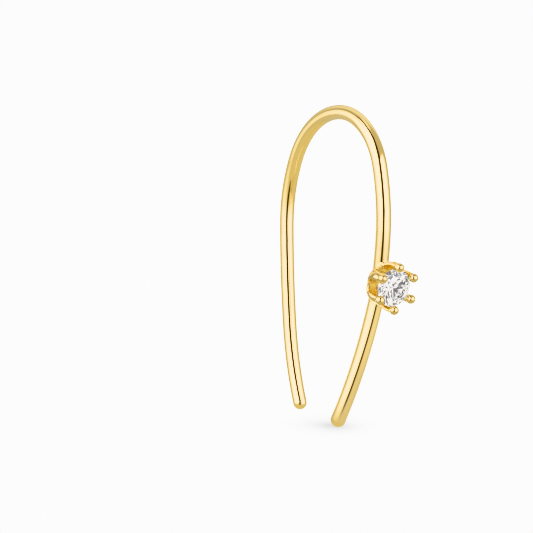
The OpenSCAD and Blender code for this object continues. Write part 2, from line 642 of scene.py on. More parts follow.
def swept(tree: bpy.types.GeometryNodeTree, given: bpy.types.Node, radii: tuple[str, str],
          until: float = 1.0) -> bpy.types.NodeSocket:
    """Sweeps a circle along a tree's line, tapering from one radius to the other.

    Args:
        tree: the tree.
        given: its Group Input node.
        radii: the names of the inputs for the first and the last radius.
        until: the share of the line after which the last radius is reached.

    Returns:
        The socket that gives the swept mesh.
    """
    curve = add_node(tree, "GeometryNodeMeshToCurve", inputs={"Mesh": given.outputs["Line"]})
    along = add_node(tree, "GeometryNodeSplineParameter")
    radius = add_node(tree, "ShaderNodeMapRange", inputs={
        "Value": along.outputs["Factor"],
        "From Max": until,
        "To Min": given.outputs[radii[0]],
        "To Max": given.outputs[radii[1]],
    })
    circle = add_node(tree, "GeometryNodeCurvePrimitiveCircle", inputs={
        "Resolution": given.outputs["Sides"],
        "Radius": 1.0,
    })
    solid = add_node(tree, "GeometryNodeCurveToMesh", inputs={
        "Curve": curve.outputs["Curve"],
        "Profile Curve": circle.outputs["Curve"],
        "Scale": radius.outputs["Result"],
        "Fill Caps": True,
    })
    return solid.outputs["Mesh"]


# The hook's pieces


@dataclass(frozen=True)
class WirePlace:
    """A place on the wire: its middle, the way down the leg, the way outward and the radius."""

    middle: np.ndarray
    along: np.ndarray
    outward: np.ndarray
    radius: float


@dataclass
class HookWire:
    """The round wire, bent in the plane X = 0 from the crown down both legs."""

    front: tuple[Bend, ...] = (Bend(4.75, 76), Bend(13.4, 20), Bend(25.5, 6), Bend(11.1, 9), Bend(35.3, 14))
    back: tuple[Bend, ...] = (Bend(5.65, 62), Bend(9.5, 28), Bend(65, 6), Bend(20.3, 15))
    crown_d: float = 0.98
    front_tip_d: float = 1.004
    back_tip_d: float = 0.936
    setting_bend: int = 3
    sides: int = 40
    spacing: float = 0.25
    front_chain: ArcChain = field(init=False)
    back_chain: ArcChain = field(init=False)

    def __post_init__(self) -> None:
        """Lays out both legs, each in a plane whose first axis points away from the crown."""
        self.front_chain = ArcChain(self.front, (0, 0), 90, -1)
        self.back_chain = ArcChain(self.back, (0, 0), 90, -1)

    def radius_at(self, along: np.ndarray, chain: ArcChain, tip_d: float) -> np.ndarray:
        """Gives the wire's radius at a length along a leg."""
        return (self.crown_d + (tip_d - self.crown_d) * along / chain.length) / 2

    def legs(self) -> tuple[tuple[ArcChain, float, int], tuple[ArcChain, float, int]]:
        """Gives the chain, the tip's diameter and the side of Y of each leg, the front one first."""
        return (self.front_chain, self.front_tip_d, -1), (self.back_chain, self.back_tip_d, 1)

    def distance(self, points: np.ndarray) -> np.ndarray:
        """Measures how far points lie outside the wire's surface.

        Args:
            points: the points, one in each row.

        Returns:
            The distance of each, negative inside the wire.
        """
        legs = []
        for chain, tip_d, side in self.legs():
            outward, past, along = chain.nearest(side * points[:, 1], points[:, 2])
            middle = np.sqrt(points[:, 0] ** 2 + outward ** 2 + past ** 2)
            legs.append(middle - self.radius_at(along, chain, tip_d))
        return np.minimum(*legs)

    def line(self) -> np.ndarray:
        """Lays out the wire's centre line.

        Returns:
            Its points from the front tip over the crown to the back tip.
        """
        front = self.front_chain.points(self.spacing)[::-1]
        back = self.back_chain.points(self.spacing)[1:]
        front_3d = np.column_stack([np.zeros(len(front)), -front[:, 0], front[:, 1]])
        back_3d = np.column_stack([np.zeros(len(back)), back[:, 0], back[:, 1]])
        return np.vstack([front_3d, back_3d])

    def seat(self) -> Matrix:
        """Finds the place of the setting on the front leg's outer face.

        Returns:
            The place, whose Z axis points straight out of the wire and whose Y axis
            runs up it.
        """
        arc = self.front_chain.arcs[self.setting_bend]
        centre = Vector((0, -arc.centre[0], arc.centre[1]))
        out = Vector((0, -math.cos(arc.start), math.sin(arc.start)))
        up = Vector((0, math.sin(arc.start), math.cos(arc.start)))
        radius = self.radius_at(np.array(arc.length_before), self.front_chain, self.front_tip_d)
        place = Matrix((Vector((1, 0, 0)), up, out)).transposed().to_4x4()
        place.translation = centre + out * (arc.radius + float(radius))
        return place

    def at(self, length: float) -> WirePlace:
        """Finds a place on the wire.

        Args:
            length: how far it is from the crown, in millimetres, negative down the back leg.

        Returns:
            The place.
        """
        front, back = self.legs()
        chain, tip_d, side = back if length < 0 else front
        arc = [a for a in chain.arcs if a.length_before <= abs(length)][-1]
        angle = arc.start + math.copysign((abs(length) - arc.length_before) / arc.radius, arc.turn)
        out = np.array([math.cos(angle), math.sin(angle)])
        middle = np.array(arc.centre) + arc.radius * out
        radius = float(self.radius_at(np.array(abs(length)), chain, tip_d))
        return WirePlace(np.array([0, side * middle[0], middle[1]]), np.array([0, side * out[1], -out[0]]),
                         np.array([0, side * out[0], out[1]]), radius)

    def tree(self) -> bpy.types.GeometryNodeTree:
        """Builds the tree that sweeps the wire along its line, tapering from tip to tip.

        Returns:
            The tree.
        """
        tree, given = new_tree("drawn wire", {
            "Front radius": "NodeSocketFloat",
            "Back radius": "NodeSocketFloat",
            "Sides": "NodeSocketInt",
            "Metal": "NodeSocketMaterial",
        })
        wire = swept(tree, given, ("Front radius", "Back radius"))
        finish_tree(tree, wire, given.outputs["Metal"])
        return tree

    def blank(self, metal: bpy.types.Material) -> bpy.types.Mesh:
        """Makes the wire before soldering.

        Args:
            metal: what it is made of.

        Returns:
            The wire, with a round bead for each tip.
        """
        line = self.line()
        mesh = grown("wire_blank", line, self.tree(), {
            "Front radius": self.front_tip_d / 2,
            "Back radius": self.back_tip_d / 2,
            "Sides": self.sides,
            "Metal": metal,
        })
        return with_balls(mesh, [(line[0], self.front_tip_d / 2), (line[-1], self.back_tip_d / 2)])


def with_balls(mesh: bpy.types.Mesh, balls: list[tuple[np.ndarray, float]]) -> bpy.types.Mesh:
    """Adds balls to a mesh.

    Args:
        mesh: the mesh that gets them.
        balls: the centre and radius of each.

    Returns:
        The same mesh.
    """
    work = bmesh.new()
    work.from_mesh(mesh)
    for centre, radius in balls:
        bmesh.ops.create_icosphere(work, subdivisions=BALL_FINENESS, radius=radius,
                                   matrix=Matrix.Translation(Vector(centre)))
    work.to_mesh(mesh)
    work.free()
    return mesh


@dataclass
class ClawSetting:
    """The shallow cup and its six ball-tipped claws, drawn round the stone's axis.

    Heights are taken from the wire's outer face, along that axis.
    """

    stone_d: float = 2.5
    girdle_t: float = 0.05
    crown_angle: float = 34.5
    pavilion_angle: float = 40.75
    culet_gap: float = 0.04
    claw_gap: float = 0.05
    ball_gap: float = 0.03
    claw_count: int = 6
    first_turn: float = math.pi / 2
    claw_t: float = 0.34
    claw_w: float = 0.56
    root: Bend = Bend(0.38, 56)
    shank: Bend = Bend(1.6, 52)
    petal_w: float = 0.86
    petal_end: float = 0.75
    ball_d: float = 0.616
    cup_bend_r: float = 0.75
    cup_depth: float = 0.42
    cup_wall: float = 0.25
    cup_under_claw: float = 0.2
    cup_rows: int = 12
    cup_steps: int = 48
    cup_seam: float = 1e-5
    web_fillet: float = 0.16
    neck_fillet: float = 0.07
    sides: int = 24
    spacing: float = 0.08
    far: float = 10.0
    belly_r: float = field(init=False)
    cup_floor_h: float = field(init=False)
    chain: ArcChain = field(init=False)

    def __post_init__(self) -> None:
        """Lays out a claw's centre line from its root in the cup's floor to its ball.

        The ball rests on the crown, just outside the girdle, and the claw below it
        bulges past the girdle and then turns in to the cup's floor.
        """
        girdle_r = self.stone_d / 2
        self.belly_r = girdle_r + self.claw_gap + self.claw_t / 2
        close_in = math.radians(self.root.turn + self.shank.turn - 90)
        ring_r = self.belly_r - self.shank.radius * (1 - math.cos(close_in))
        crown = math.radians(self.crown_angle)
        girdle_top = self.culet_gap + girdle_r * math.tan(math.radians(self.pavilion_angle)) + self.girdle_t
        ball_rise = self.ball_d / 2 + self.ball_gap - (ring_r - girdle_r) * math.sin(crown)
        ball_h = girdle_top + ball_rise / math.cos(crown)
        belly_h = ball_h - self.shank.radius * math.sin(close_in)
        turn = math.radians(self.root.turn)
        reach = self.shank.radius - self.root.radius
        root_r = self.belly_r - self.shank.radius + reach * math.sin(turn)
        root_h = belly_h - reach * math.cos(turn) - self.root.radius
        self.cup_floor_h = root_h - self.cup_under_claw
        self.chain = ArcChain((self.root, self.shank), (root_r, root_h), -90, 1)

    def masks(self, seat: Matrix) -> SettingMasks:
        """Says where the gold is the setting's, and where it is inside it.

        Args:
            seat: the place of the setting on the wire.

        Returns:
            The masks. The inside reaches up to just under the stone's girdle.
        """
        centre_h = self.chain.arcs[1].centre[1]
        return SettingMasks(seat, ring_r=self.belly_r - self.shank.radius, ring_h=centre_h,
                            reach=self.shank.radius, rim_h=centre_h - self.cup_wall)

    def claw_turns(self) -> np.ndarray:
        """Gives the direction of each claw round the axis, in radians. The first points up the wire."""
        return self.first_turn + 2 * math.pi * np.arange(self.claw_count) / self.claw_count

    def claw(self, across: np.ndarray, side: np.ndarray, height: np.ndarray) -> np.ndarray:
        """Measures how far points lie outside one claw, which is a wide petal at its root.

        Args:
            across: how far each point is from the axis, in the claw's direction.
            side: how far it is to the claw's side.
            height: how high it is.

        Returns:
            The distance of each, negative inside the claw.
        """
        outward, past, along = self.chain.nearest(across, height)
        ease = eased(np.clip(along / (self.chain.length * self.petal_end), 0, 1))
        half_w = (self.petal_w + (self.claw_w - self.petal_w) * ease) / 2
        half_t = self.claw_t / 2
        scaled = np.sqrt((outward / half_t) ** 2 + (side / half_w) ** 2 + (past / half_t) ** 2)
        slope = np.sqrt((outward / half_t ** 2) ** 2 + (side / half_w ** 2) ** 2
                        + (past / half_t ** 2) ** 2)
        return scaled * (scaled - 1) / np.maximum(slope, TINY)

    def cup(self, radius: np.ndarray, height: np.ndarray) -> np.ndarray:
        """Measures how far points lie outside the cup's wall, whose rim is rounded.

        Args:
            radius: how far each point is from the axis.
            height: how high it is.

        Returns:
            The distance of each, negative inside the wall.
        """
        bend_r = self.cup_bend_r - self.cup_wall / 2
        x = np.maximum(radius - (self.belly_r - self.cup_bend_r), 0)
        y = height - self.cup_floor_h - self.cup_bend_r
        wall = np.abs(np.hypot(x, np.minimum(y, 0)) - bend_r) - self.cup_wall / 2
        above = height - self.cup_floor_h - self.cup_depth
        return -merged(-wall, -above, self.cup_wall / 2)

    def distance(self, points: np.ndarray) -> np.ndarray:
        """Measures how far points lie outside the cup and claws, with webs between the claws' roots.

        Args:
            points: the points, one in each row, in the setting's own frame.

        Returns:
            The distance of each, negative inside the metal.
        """
        radius = np.hypot(points[:, 0], points[:, 1])
        height = points[:, 2]
        solid = self.cup(radius, height)
        balls = np.full(len(points), np.inf)
        for turn in self.claw_turns():
            across = points[:, 0] * math.cos(turn) + points[:, 1] * math.sin(turn)
            side = points[:, 1] * math.cos(turn) - points[:, 0] * math.sin(turn)
            claw = np.where(across > 0, self.claw(across, side, height), self.far)
            solid = merged(solid, claw, self.web_fillet)
            out = across - self.chain.end[0]
            up = height - self.chain.end[1]
            middle = np.sqrt(out ** 2 + side ** 2 + up ** 2)
            balls = np.minimum(balls, middle - self.ball_d / 2)
        return merged(solid, balls, self.neck_fillet)

    def tree(self) -> bpy.types.GeometryNodeTree:
        """Builds the tree that sweeps one claw and sets it round the axis.

        Returns:
            The tree.
        """
        tree, given = new_tree("ring of claws", {
            "Root radius": "NodeSocketFloat",
            "Tip radius": "NodeSocketFloat",
            "Sides": "NodeSocketInt",
            "Claws": "NodeSocketInt",
            "First turn": "NodeSocketFloat",
            "Metal": "NodeSocketMaterial",
        })
        claw = swept(tree, given, ("Root radius", "Tip radius"), self.petal_end)
        points = add_node(tree, "GeometryNodePoints", inputs={"Count": given.outputs["Claws"]})
        index = add_node(tree, "GeometryNodeInputIndex")
        step = add_node(tree, "ShaderNodeMath", {"operation": "DIVIDE"}, {
            0: 2 * math.pi,
            1: given.outputs["Claws"],
        })
        turn = add_node(tree, "ShaderNodeMath", {"operation": "MULTIPLY_ADD"}, {
            0: index.outputs["Index"],
            1: step.outputs["Value"],
            2: given.outputs["First turn"],
        })
        euler = add_node(tree, "ShaderNodeCombineXYZ", inputs={"Z": turn.outputs["Value"]})
        rotation = add_node(tree, "FunctionNodeEulerToRotation", inputs={"Euler": euler.outputs["Vector"]})
        ring = add_node(tree, "GeometryNodeInstanceOnPoints", inputs={
            "Points": points.outputs["Points"],
            "Instance": claw,
            "Rotation": rotation.outputs["Rotation"],
        })
        finish_tree(tree, ring.outputs["Instances"], given.outputs["Metal"])
        return tree

    def cup_blank(self) -> bpy.types.Mesh:
        """Turns the cup's wall round the axis.

        Returns:
            The cup.
        """
        centre_r = self.belly_r - self.cup_bend_r
        centre_h = self.cup_floor_h + self.cup_bend_r
        inner_r = self.cup_bend_r - self.cup_wall
        rim = math.acos((self.cup_bend_r - self.cup_depth) / self.cup_bend_r)
        angles = np.linspace(0, rim, self.cup_rows)
        outline = [(0.0, self.cup_floor_h)]
        for bend_r, turns in ((self.cup_bend_r, angles), (inner_r, angles[::-1])):
            outline += [(centre_r + bend_r * math.sin(a), centre_h - bend_r * math.cos(a)) for a in turns]
        outline.append((0.0, self.cup_floor_h + self.cup_wall))
        work = bmesh.new()
        verts = [work.verts.new((r, 0, h)) for r, h in outline]
        edges = [work.edges.new(pair) for pair in zip(verts, verts[1:])]
        bmesh.ops.spin(work, geom=verts + edges, cent=(0, 0, 0), axis=(0, 0, 1), angle=2 * math.pi,
                       steps=self.cup_steps, use_merge=True)
        bmesh.ops.remove_doubles(work, verts=work.verts, dist=self.cup_seam)
        bmesh.ops.recalc_face_normals(work, faces=work.faces)
        mesh = bpy.data.meshes.new("cup_blank")
        work.to_mesh(mesh)
        work.free()
        return mesh

    def blank(self, metal: bpy.types.Material) -> list[bpy.types.Mesh]:
        """Makes the setting before soldering.

        Args:
            metal: what it is made of.

        Returns:
            The claws with their balls, and the cup.
        """
        out, up = self.chain.points(self.spacing).T
        claws = grown("claw_blanks", np.column_stack([out, np.zeros(len(out)), up]), self.tree(), {
            "Root radius": (self.petal_w + self.claw_t) / 4,
            "Tip radius": (self.claw_w + self.claw_t) / 4,
            "Sides": self.sides,
            "Claws": self.claw_count,
            "First turn": self.first_turn,
            "Metal": metal,
        })
        reach, height = self.chain.end
        balls = [(np.array([reach * math.cos(t), reach * math.sin(t), height]), self.ball_d / 2)
                 for t in self.claw_turns()]
        return [with_balls(claws, balls), self.cup_blank()]


@dataclass
class EarHook:
    """The wire and its setting, soldered and polished into one skin of metal.

    Beyond near_r from the setting's seat there is only the wire.
    """

    wire: HookWire
    setting: ClawSetting
    finish: PolishedGold
    solder_fillet: float = 0.14
    voxel: float = 0.051
    rounds: int = 3
    furthest_voxels: int = 3
    relaxing: int = 4
    relaxing_share: float = 0.5
    step: float = 1e-4
    flattest: float = 0.05
    near_r: float = 5.0

    def distance(self, points: np.ndarray) -> np.ndarray:
        """Measures how far points lie outside the finished metal.

        Args:
            points: the points, one in each row.

        Returns:
            The distance of each, negative inside the metal.
        """
        seat = np.array(self.wire.seat().inverted())
        local = points @ seat[:3, :3].T + seat[:3, 3]
        wire = self.wire.distance(points)
        near = np.linalg.norm(local, axis=1) < self.near_r
        solid = wire.copy()
        solid[near] = merged(wire[near], self.setting.distance(local[near]), self.solder_fillet)
        return solid

    def slope(self, points: np.ndarray) -> np.ndarray:
        """Measures across a tiny step in which direction the distance grows.

        Args:
            points: the points, one in each row.

        Returns:
            The direction at each point.
        """
        sides = []
        for axis in range(3):
            shift = np.zeros(3)
            shift[axis] = self.step
            sides.append((self.distance(points + shift) - self.distance(points - shift)) / (2 * self.step))
        return np.column_stack(sides)

    def settle(self, points: np.ndarray) -> np.ndarray:
        """Slides points straight onto the surface of the finished metal.

        Args:
            points: the points, one in each row.

        Returns:
            The points in their new places.
        """
        # Where two forms meet the distance grows slowly, so the slides are kept short
        furthest = self.voxel * self.furthest_voxels
        for _ in range(self.rounds):
            slope = self.slope(points)
            size = np.maximum((slope ** 2).sum(1), self.flattest)
            move = (self.distance(points) / size)[:, None] * slope
            points = points - np.clip(move, -furthest, furthest)
        return points

    def polish(self, mesh: bpy.types.Mesh) -> np.ndarray:
        """Evens out a mesh's points and slides them onto the finished surface.

        Args:
            mesh: the soldered mesh, in millimetres.

        Returns:
            The direction of the surface at each point.
        """
        points = np.empty(len(mesh.vertices) * 3, np.float32)
        mesh.vertices.foreach_get("co", points)
        points = points.reshape(-1, 3).astype(float)
        edges = np.empty(len(mesh.edges) * 2, np.int32)
        mesh.edges.foreach_get("vertices", edges)
        edges = edges.reshape(-1, 2)
        begins, ends = np.concatenate([edges, edges[:, ::-1]]).T
        count = np.bincount(begins, minlength=len(points))[:, None]
        points = self.settle(points)
        for _ in range(self.relaxing):
            total = np.column_stack([
                np.bincount(begins, weights=points[ends, axis], minlength=len(points)) for axis in range(3)
            ])
            points = points + self.relaxing_share * (total / count - points)
            points = self.settle(points)
        slope = self.slope(points)
        mesh.vertices.foreach_set("co", points.astype(np.float32).ravel())
        mesh.update()
        return slope / np.linalg.norm(slope, axis=1)[:, None]

    def soldered(self, meshes: list[bpy.types.Mesh]) -> bpy.types.Mesh:
        """Fuses the blanks.

        Args:
            meshes: the blanks, each in its place.

        Returns:
            One closed mesh of even small faces.
        """
        work = bmesh.new()
        for mesh in meshes:
            work.from_mesh(mesh)
        joined = bpy.data.meshes.new("hook_blank")
        work.to_mesh(joined)
        work.free()
        host = placed("hook_blank", joined)
        fuse = host.modifiers.new("solder", "REMESH")
        fuse.mode = "VOXEL"
        fuse.voxel_size = self.voxel
        return plain_mesh(host)

    def build(self) -> bpy.types.Object:
        """Makes the metal skin and puts it in place of the plain hook.

        Returns:
            The skin.
        """
        gold = self.finish.material()
        place = self.wire.seat()
        setting = self.setting.blank(gold)
        for mesh in setting:
            mesh.transform(place)
        mesh = self.soldered([self.wire.blank(gold), *setting])
        normals = self.polish(mesh)
        mesh.transform(Matrix.Scale(METRES, 4))
        mesh.materials.clear()
        mesh.materials.append(gold)
        mesh.shade_smooth()
        mesh.normals_split_custom_set_from_vertices(normals.tolist())
        skin = placed("gold_hook", mesh)
        skin.visible_transmission = False
        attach(skin, BODY)
        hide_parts("ear_hook")
        log.info("gold_hook: %d faces", len(mesh.polygons))
        return skin


@dataclass
class Brilliant:
    """The round brilliant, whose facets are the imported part's own."""

    finish: CutStone

    def dress(self) -> None:
        """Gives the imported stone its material."""
        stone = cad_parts["stone"]
        material = self.finish.material()
        if not stone.material_slots:
            stone.data.materials.append(None)
        for slot in stone.material_slots:
            slot.material = material
        log.info("stone: %d faces", len(stone.data.polygons))


# The studio


class Level(Enum):
    """How bright a part of the studio is, as seen in a mirror, and its tint."""

    LIGHT = (7.5, "#FFFFFF")
    SIDE_LIGHT = (7.0, "#FFFFFF")
    BACK_LIGHT = (1.15, "#FFFFFF")
    TOP_LIGHT = (1.2, "#FFFFFF")
    WALL = (0.63, "#FFFBEA")
    FLOOR = (0.76, "#FFFADF")
    GAP = (0.05, "#FFE3FF")

    @property
    def light(self) -> tuple[float, float, float]:
        """Works out the light.

        Returns:
            Its linear red, green and blue.
        """
        brightness, tint = self.value
        red, green, blue, _ = linear(tint)
        return brightness * red, brightness * green, brightness * blue


@dataclass(frozen=True)
class Edge:
    """An edge of a panel: the angle at which it is seen and how wide it fades, in degrees."""

    angle: float
    fade: float

    def tangents(self, inward: int) -> tuple[float, float]:
        """Works out where the edge fades.

        Args:
            inward: 1 where the panel lies at greater angles, -1 where at smaller.

        Returns:
            The tangents where the fade begins outside and where it ends inside.
        """
        outer = math.tan(math.radians(self.angle - inward * self.fade / 2))
        inner = math.tan(math.radians(self.angle + inward * self.fade / 2))
        return outer, inner


@dataclass(frozen=True)
class Panel:
    """A flat upright panel of the studio, seen from the earring.

    Its azimuth is counted from the camera's, to the picture's right, and its edges
    from its middle.
    """

    name: str
    level: Level
    azimuth: float
    left: Edge
    right: Edge
    low: Edge
    high: Edge


@dataclass(frozen=True)
class Zone:
    """A level that covers everything above an elevation, with a fade, in degrees."""

    level: Level
    above: float
    fade: float


class Tent:
    """Builds the world's nodes, as levels of light laid over each other."""

    nearly_beside = 0.01  # a direction this little ahead counts as beside the earring
    dimming = 2.0  # power of a panel's mask, so that its light falls off sooner

    def __init__(self, tree: bpy.types.NodeTree, camera_azimuth: float) -> None:
        """Empties the tree.

        Args:
            tree: the world's tree.
            camera_azimuth: the azimuth from which the panels count theirs, in degrees.
        """
        tree.nodes.clear()
        self.tree = tree
        self.camera_azimuth = camera_azimuth
        self.direction = add_node(tree, "ShaderNodeTexCoord").outputs["Generated"]
        seen = add_node(tree, "ShaderNodeSeparateXYZ", inputs={"Vector": self.direction})
        self.height = seen.outputs["Z"]

    def rising(self, value: bpy.types.NodeSocket, low: float, high: float) -> bpy.types.NodeSocket:
        """Rises smoothly from 0 to 1 as the value goes from low to high."""
        return add_node(self.tree, "ShaderNodeMapRange", {"interpolation_type": "SMOOTHSTEP"}, {
            "Value": value,
            "From Min": low,
            "From Max": high,
        }).outputs["Result"]

    def covered(self, below: Any, light: Any, mask: bpy.types.NodeSocket) -> bpy.types.NodeSocket:
        """Covers what is below with a light, as far as the mask goes."""
        return add_node(self.tree, "ShaderNodeMix", {"data_type": "VECTOR"}, {
            0: mask,
            VECTOR_A: below,
            VECTOR_B: light,
        }).outputs[VECTOR_RESULT]

    def zones(self, zones: tuple[Zone, ...]) -> bpy.types.NodeSocket:
        """Lays the zones over each other.

        Args:
            zones: the zones, from the lowest up.

        Returns:
            Their light.
        """
        radiance = zones[0].level.light
        for zone in zones[1:]:
            low = math.sin(math.radians(zone.above - zone.fade / 2))
            high = math.sin(math.radians(zone.above + zone.fade / 2))
            radiance = self.covered(radiance, zone.level.light, self.rising(self.height, low, high))
        return radiance

    def panel(self, panel: Panel) -> bpy.types.NodeSocket:
        """Masks a panel.

        Args:
            panel: the panel.

        Returns:
            The mask, which is 1 in the panel's middle and dims to 0 at its edges.
        """
        turned = add_node(self.tree, "ShaderNodeVectorRotate", {"rotation_type": "Z_AXIS"}, {
            "Vector": self.direction,
            "Angle": -math.radians(self.camera_azimuth + panel.azimuth),
        })
        seen = add_node(self.tree, "ShaderNodeSeparateXYZ", inputs={"Vector": turned.outputs["Vector"]})
        depth = add_node(self.tree, "ShaderNodeMath", {"operation": "MULTIPLY"}, {
            0: seen.outputs["Y"],
            1: -1.0,
        }).outputs[0]
        far = add_node(self.tree, "ShaderNodeMath", {"operation": "MAXIMUM"}, {
            0: depth,
            1: self.nearly_beside,
        }).outputs[0]
        mask = self.rising(depth, 0.0, self.nearly_beside)
        for axis, first, last in (("X", panel.left, panel.right), ("Z", panel.low, panel.high)):
            value = add_node(self.tree, "ShaderNodeMath", {"operation": "DIVIDE"}, {
                0: seen.outputs[axis],
                1: far,
            }).outputs[0]
            for edge, inward in ((first, 1), (last, -1)):
                mask = add_node(self.tree, "ShaderNodeMath", {"operation": "MULTIPLY"}, {
                    0: mask,
                    1: self.rising(value, *edge.tangents(inward)),
                }).outputs[0]
        return add_node(self.tree, "ShaderNodeMath", {"operation": "POWER"}, {
            0: mask,
            1: self.dimming,
        }).outputs[0]


@dataclass(frozen=True)
class Sparkle:
    """Soft white clouds of light and dark gaps all round, which only the stone gathers.

    A cut stone shows its facets by throwing light in from some of them and not
    from others, so it is lit by soft clouds instead of the gold's large panels.
    """

    clouds_across: float = 2.0
    arrangement: float = 2.0
    dark: float = 0.2
    bright: float = 1.5
    dark_colour: str = "#F4F4FF"
    bright_colour: str = "#FFFCF8"
    dark_share: float = 0.45
    bright_share: float = 0.54

    def radiance(self, tent: Tent) -> bpy.types.NodeSocket:
        """Spreads the clouds.

        Args:
            tent: the tent that they hang in.

        Returns:
            Their light.
        """
        clouds = add_node(tent.tree, "ShaderNodeTexNoise", {"noise_dimensions": "4D"}, {
            "Vector": tent.direction,
            "W": self.arrangement,
            "Scale": self.clouds_across,
            "Detail": 0.0,
        })
        lit = add_node(tent.tree, "ShaderNodeMapRange", inputs={
            "Value": clouds.outputs["Fac"],
            "From Min": self.dark_share,
            "From Max": self.bright_share,
        })
        dark = [self.dark * v for v in linear(self.dark_colour)[:3]]
        bright = [self.bright * v for v in linear(self.bright_colour)[:3]]
        return tent.covered(dark, bright, lit.outputs["Result"])


@dataclass(frozen=True)
class Stripe:
    """A line down a lit card, with its place across the wire and its level at both ends.

    Places are shares of the wire's radius, counted outward from the hook's inside.
    """

    begin: float
    end: float
    level: float
    level_end: float


@dataclass(frozen=True)
class WireCard:
    """A small lit card bent close round the wire, for this stretch of it alone to mirror.

    Lengths are in millimetres from the crown, negative down the back leg. The
    stripes swing over between two of them and keep straight before and after.
    A card that doesn't run on into the next thins out over a fade at that end.
    Its place is worked out from the scene's own camera, so it suits that view.
    """

    name: str
    first: float
    last: float
    swing_from: float
    swing_to: float
    stripes: tuple[Stripe, ...]
    fade_in: float = 0.0
    fade_out: float = 0.0
    finish: LitCard = LitCard()
    spacing: float = 0.15
    reach: float = 0.3

    def lengths(self) -> np.ndarray:
        """Gives the lengths along the wire of the card's rows."""
        return np.linspace(self.first, self.last, math.ceil((self.last - self.first) / self.spacing) + 1)

    def swing(self, length: float) -> float:
        """Gives how far the stripes have swung over, from 0 to 1."""
        share = (length - self.swing_from) / (self.swing_to - self.swing_from)
        return eased(min(max(share, 0), 1))

    def cover(self, length: float) -> float:
        """Works out how dense the card is.

        Args:
            length: the place along the wire.

        Returns:
            The density, which rises from 0 at an end that fades to 1.
        """
        begun = (length - self.first) / self.fade_in if self.fade_in else 1
        left = (self.last - length) / self.fade_out if self.fade_out else 1
        return eased(min(begun, left, 1))

    def build(self, wire: HookWire, eye: np.ndarray) -> None:
        """Makes the card.

        Each of its points lies a short way along the ray that comes from the camera
        and leaves the wire again as from a mirror.

        Args:
            wire: the hook's wire.
            eye: the camera's place in millimetres.
        """
        points, levels, covers = [], [], []
        for length in self.lengths():
            place = wire.at(length)
            toward = (eye - place.middle) / np.linalg.norm(eye - place.middle)
            facing = toward - place.along * (toward @ place.along)
            facing /= np.linalg.norm(facing)
            side = np.cross(place.along, facing)
            side *= math.copysign(1, side @ place.outward)
            swing = self.swing(length)
            for stripe in self.stripes:
                across = stripe.begin + (stripe.end - stripe.begin) * swing
                normal = facing * math.sqrt(1 - across ** 2) + side * across
                mirrored = 2 * (normal @ toward) * normal - toward
                points.append((place.middle + normal * place.radius + mirrored * self.reach) * METRES)
                levels.append(stripe.level + (stripe.level_end - stripe.level) * swing ** 2)
                covers.append(self.cover(length))
        columns = len(self.stripes)
        faces = [(i, i + 1, i + columns + 1, i + columns)
                 for i in range(len(points) - columns) if (i + 1) % columns]
        mesh = bpy.data.meshes.new(self.name)
        mesh.from_pydata([tuple(p) for p in points], [], faces)
        for name, values in ((self.finish.attribute, levels), (self.finish.cover, covers)):
            mesh.attributes.new(name, "FLOAT", "POINT").data.foreach_set("value", values)
        mesh.materials.append(self.finish.material())
        card = placed(self.name, mesh)
        for ray in ("camera", "diffuse", "transmission", "shadow"):
            setattr(card, "visible_" + ray, False)
        log.info("%s: %d faces", self.name, len(faces))


